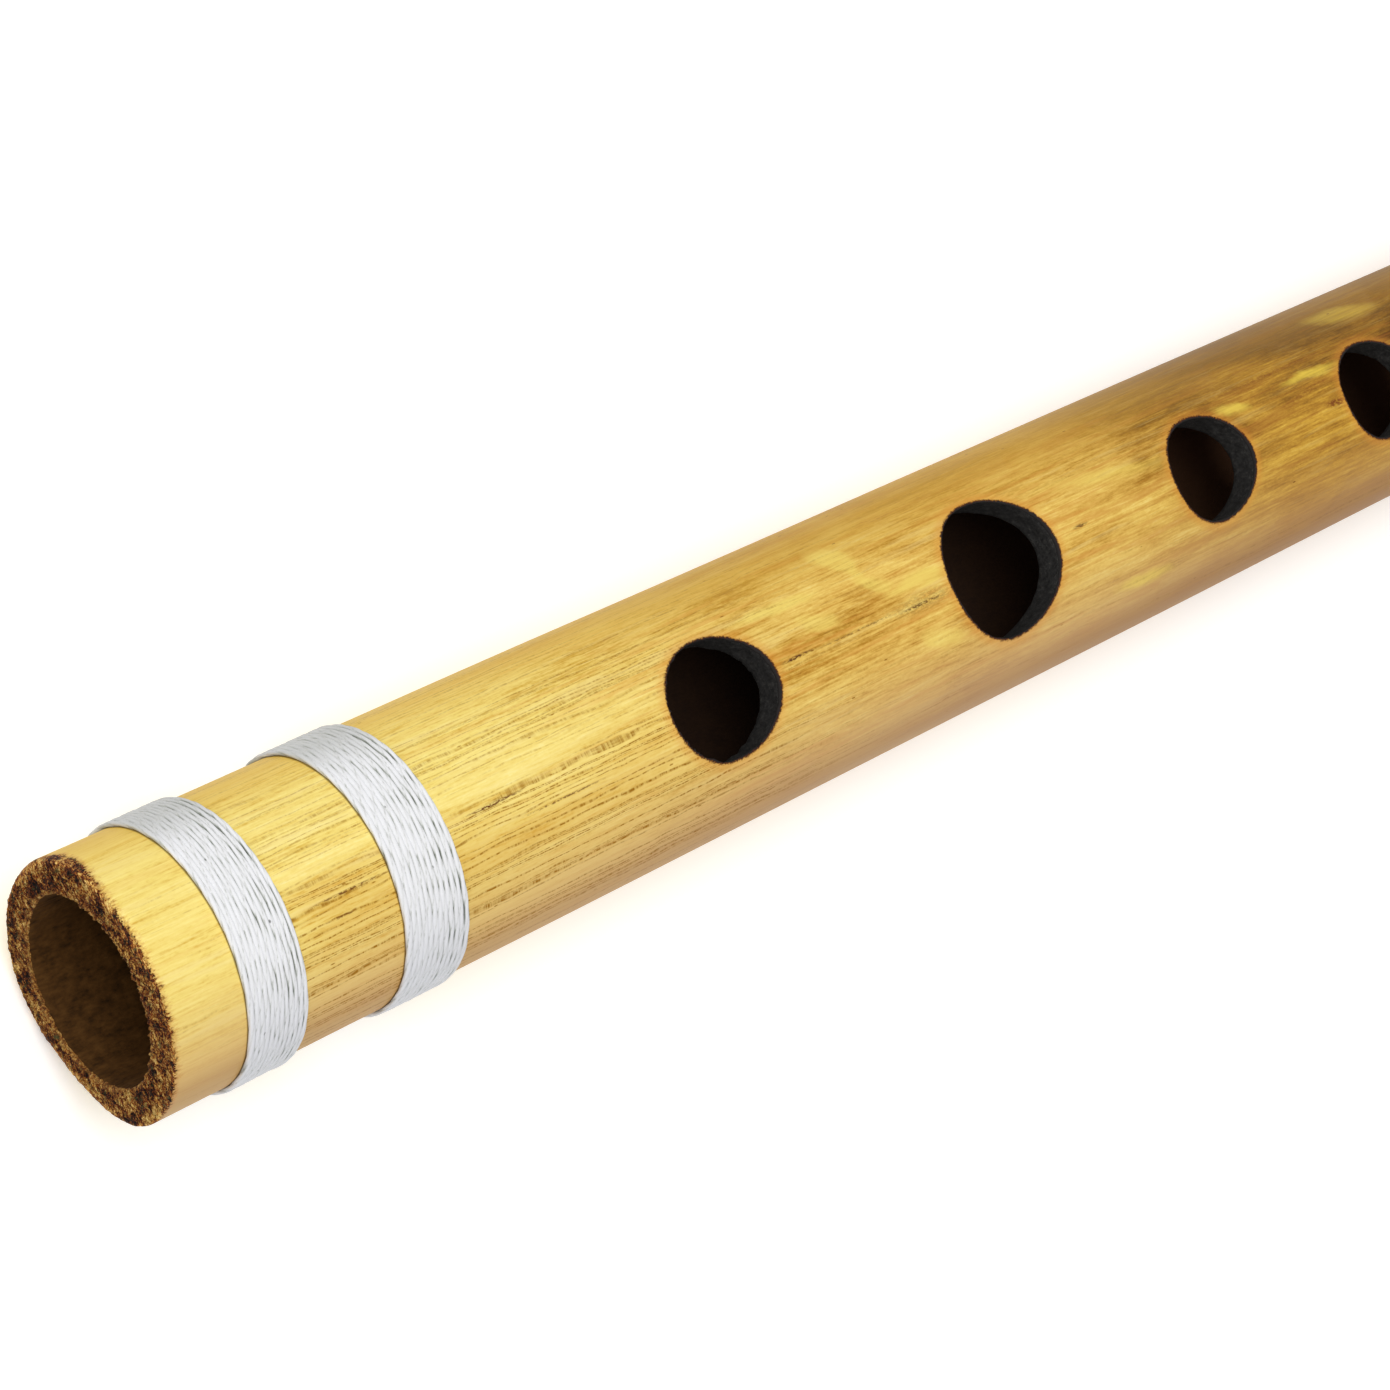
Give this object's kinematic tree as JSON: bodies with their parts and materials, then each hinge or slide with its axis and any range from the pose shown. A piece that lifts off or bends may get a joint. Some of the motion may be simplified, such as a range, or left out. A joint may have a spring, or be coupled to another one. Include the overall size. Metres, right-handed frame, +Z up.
{
  "type": "bamboo flute",
  "caption": "Side-blown bamboo flute: open bamboo tube with burnt finger holes and a blow hole, sliding cork stopper in the head, and white thread bindings.",
  "frame": {"origin": "under the middle of the flute, on the surface that the thread bindings rest on", "axes": "+X along the flute from the foot (open end) to the head, +Z up through the finger holes and the blow hole, +Y across the flute"},
  "size_m": [0.41, 0.021, 0.021],
  "materials": {
    "bamboo": "natural golden bamboo skin with fine lengthwise fibres and a satin sheen; scorched brown end grain, charred hole walls and a dark brown bore",
    "cork": "dry natural cork with dark pores",
    "thread": "white twisted thread, turns laid side by side, slightly waxed"
  },
  "bodies": {
    "tube": {"bamboo_tube": "bamboo", "foot_end_binding": "thread", "foot_second_binding": "thread", "middle_lower_binding": "thread", "middle_upper_binding": "thread", "head_second_binding": "thread", "head_end_binding": "thread"},
    "stopper": {"cork_stopper": "cork"}
  },
  "joints": [
    {"name": "stopper_slide", "type": "slide", "parent": "tube", "child": "stopper", "axis": [1, 0, 0], "range_m": [-0.004, 0.012]}
  ]
}
